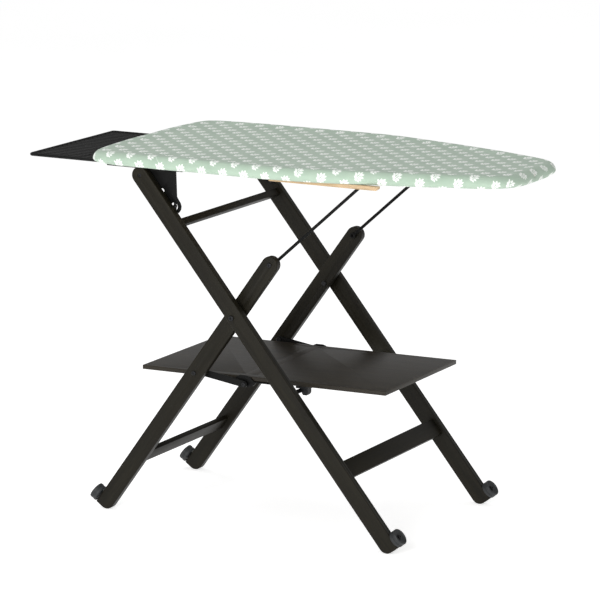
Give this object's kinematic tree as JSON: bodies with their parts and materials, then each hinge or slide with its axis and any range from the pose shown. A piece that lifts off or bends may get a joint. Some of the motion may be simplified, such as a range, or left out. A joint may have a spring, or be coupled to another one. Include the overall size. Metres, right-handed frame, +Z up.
{
  "type": "ironing board",
  "caption": "Folding wooden-legged ironing board with a padded printed cover, a shelf between the legs, small wheels and a sliding wire iron rest.",
  "frame": {"origin": "bottom centre of the bounding box, on the floor", "axes": "+Z up, +X along the board towards its nose, Y across"},
  "size_m": [1.223, 0.577, 0.861],
  "materials": {
    "dark_wood": "very dark brown stain, satin",
    "shelf_wood": "very dark brown stain, satin sheen",
    "light_wood": "plain beech",
    "black_steel": "semi-matte black powder coat",
    "dark_fastener": "black oxide",
    "black_plastic": "moulded, matte",
    "wheel_rubber": "dark grey, moulded",
    "board_core": "raw board",
    "pad_foam": "felt padding",
    "cover_fabric": "sage green cotton with a white leaf print"
  },
  "bodies": {
    "outer_frame": {"outer_leg_near": "dark_wood", "outer_leg_far": "dark_wood", "upper_crossbar": "dark_wood", "lower_outer_crossbar": "dark_wood", "shelf_rest_rod": "black_steel", "board_pivot_bolt_near": "dark_fastener", "board_pivot_bolt_far": "dark_fastener", "scissor_bolt_near": "dark_fastener", "scissor_bolt_far": "dark_fastener", "scissor_spacer_near": "black_plastic", "scissor_spacer_far": "black_plastic", "outer_axle_near": "dark_fastener", "outer_axle_far": "dark_fastener"},
    "inner_frame": {"inner_leg_near": "dark_wood", "inner_leg_far": "dark_wood", "inner_crossbar": "dark_wood", "strut_bolt_near": "dark_fastener", "strut_bolt_far": "dark_fastener", "shelf_pivot_bolt_near": "dark_fastener", "shelf_pivot_bolt_far": "dark_fastener", "inner_axle_near": "dark_fastener", "inner_axle_far": "dark_fastener"},
    "board": {"board_core": "board_core", "board_pad": "pad_foam", "board_cover": "cover_fabric", "batten_near": "light_wood", "batten_far": "light_wood", "hinge_bracket_near": "black_steel", "hinge_bracket_far": "black_steel", "lock_pin_near": "dark_fastener", "lock_pin_far": "dark_fastener", "strut_pin_near": "dark_fastener", "strut_pin_far": "dark_fastener", "rest_guide_near": "black_steel", "rest_guide_far": "black_steel"},
    "iron_rest_tray": {"iron_rest": "black_steel"},
    "strut_near_body": {"strut_near": "black_steel"},
    "strut_far_body": {"strut_far": "black_steel"},
    "shelf_straps": {"shelf_strap_near": "black_steel", "shelf_strap_far": "black_steel"},
    "shelf": {"shelf_panel": "shelf_wood", "shelf_bracket_near": "black_steel", "shelf_bracket_far": "black_steel", "shelf_strap_pin_near": "dark_fastener", "shelf_strap_pin_far": "dark_fastener", "shelf_catch_near": "black_plastic", "shelf_catch_far": "black_plastic", "shelf_screw_rear_near": "dark_fastener", "shelf_screw_rear_far": "dark_fastener", "shelf_screw_front_near": "dark_fastener", "shelf_screw_front_far": "dark_fastener"},
    "wheel_outer_near": {"outer_wheel_near": "wheel_rubber"},
    "wheel_outer_far": {"outer_wheel_far": "wheel_rubber"},
    "wheel_inner_near": {"inner_wheel_near": "wheel_rubber"},
    "wheel_inner_far": {"inner_wheel_far": "wheel_rubber"}
  },
  "joints": [
    {"name": "fold", "type": "hinge", "parent": "outer_frame", "child": "inner_frame", "pos_m": [-0.0337, 0, 0.5022], "axis": [0, -1, 0], "range_deg": [0, 70]},
    {"name": "board_fold", "type": "hinge", "parent": "outer_frame", "child": "board", "pos_m": [-0.2745, 0, 0.8121], "axis": [0, 1, 0], "range_deg": [0, 49.12]},
    {"name": "strut_near_fold", "type": "hinge", "parent": "board", "child": "strut_near_body", "pos_m": [0.2655, -0.1998, 0.826], "axis": [0, 1, 0], "range_deg": [0, 36.88]},
    {"name": "strut_far_fold", "type": "hinge", "parent": "board", "child": "strut_far_body", "pos_m": [0.2655, 0.1998, 0.826], "axis": [0, 1, 0], "range_deg": [0, 36.88]},
    {"name": "strap_fold", "type": "hinge", "parent": "inner_frame", "child": "shelf_straps", "pos_m": [-0.1507, 0, 0.3541], "axis": [0, 1, 0], "range_deg": [0, 136.9]},
    {"name": "shelf_fold", "type": "hinge", "parent": "shelf_straps", "child": "shelf", "pos_m": [-0.032, 0, 0.3368], "axis": [0, -1, 0], "range_deg": [0, 188.06]},
    {"name": "iron_rest_slide", "type": "slide", "parent": "board", "child": "iron_rest_tray", "axis": [1, 0, 0], "range_m": [0, 0.2]},
    {"name": "wheel_outer_near_spin", "type": "hinge", "parent": "outer_frame", "child": "wheel_outer_near", "pos_m": [0.391, -0.2505, 0.03796], "axis": [0.7778, 0, 0.6286], "continuous": true},
    {"name": "wheel_outer_far_spin", "type": "hinge", "parent": "outer_frame", "child": "wheel_outer_far", "pos_m": [0.391, 0.2505, 0.03796], "axis": [0.7778, 0, 0.6286], "continuous": true},
    {"name": "wheel_inner_near_spin", "type": "hinge", "parent": "inner_frame", "child": "wheel_inner_near", "pos_m": [-0.413, -0.2151, 0.03636], "axis": [-0.815, 0, 0.5795], "continuous": true},
    {"name": "wheel_inner_far_spin", "type": "hinge", "parent": "inner_frame", "child": "wheel_inner_far", "pos_m": [-0.413, 0.2151, 0.03636], "axis": [-0.815, 0, 0.5795], "continuous": true}
  ],
  "couplings": [
    {"joint": "board_fold", "follows": "fold", "ratio": 0.70124},
    {"joint": "strut_near_fold", "follows": "fold", "ratio": 0.52647},
    {"joint": "strut_far_fold", "follows": "fold", "ratio": 0.52647},
    {"joint": "strap_fold", "follows": "fold", "ratio": 1.9546},
    {"joint": "shelf_fold", "follows": "fold", "ratio": 2.6851}
  ]
}
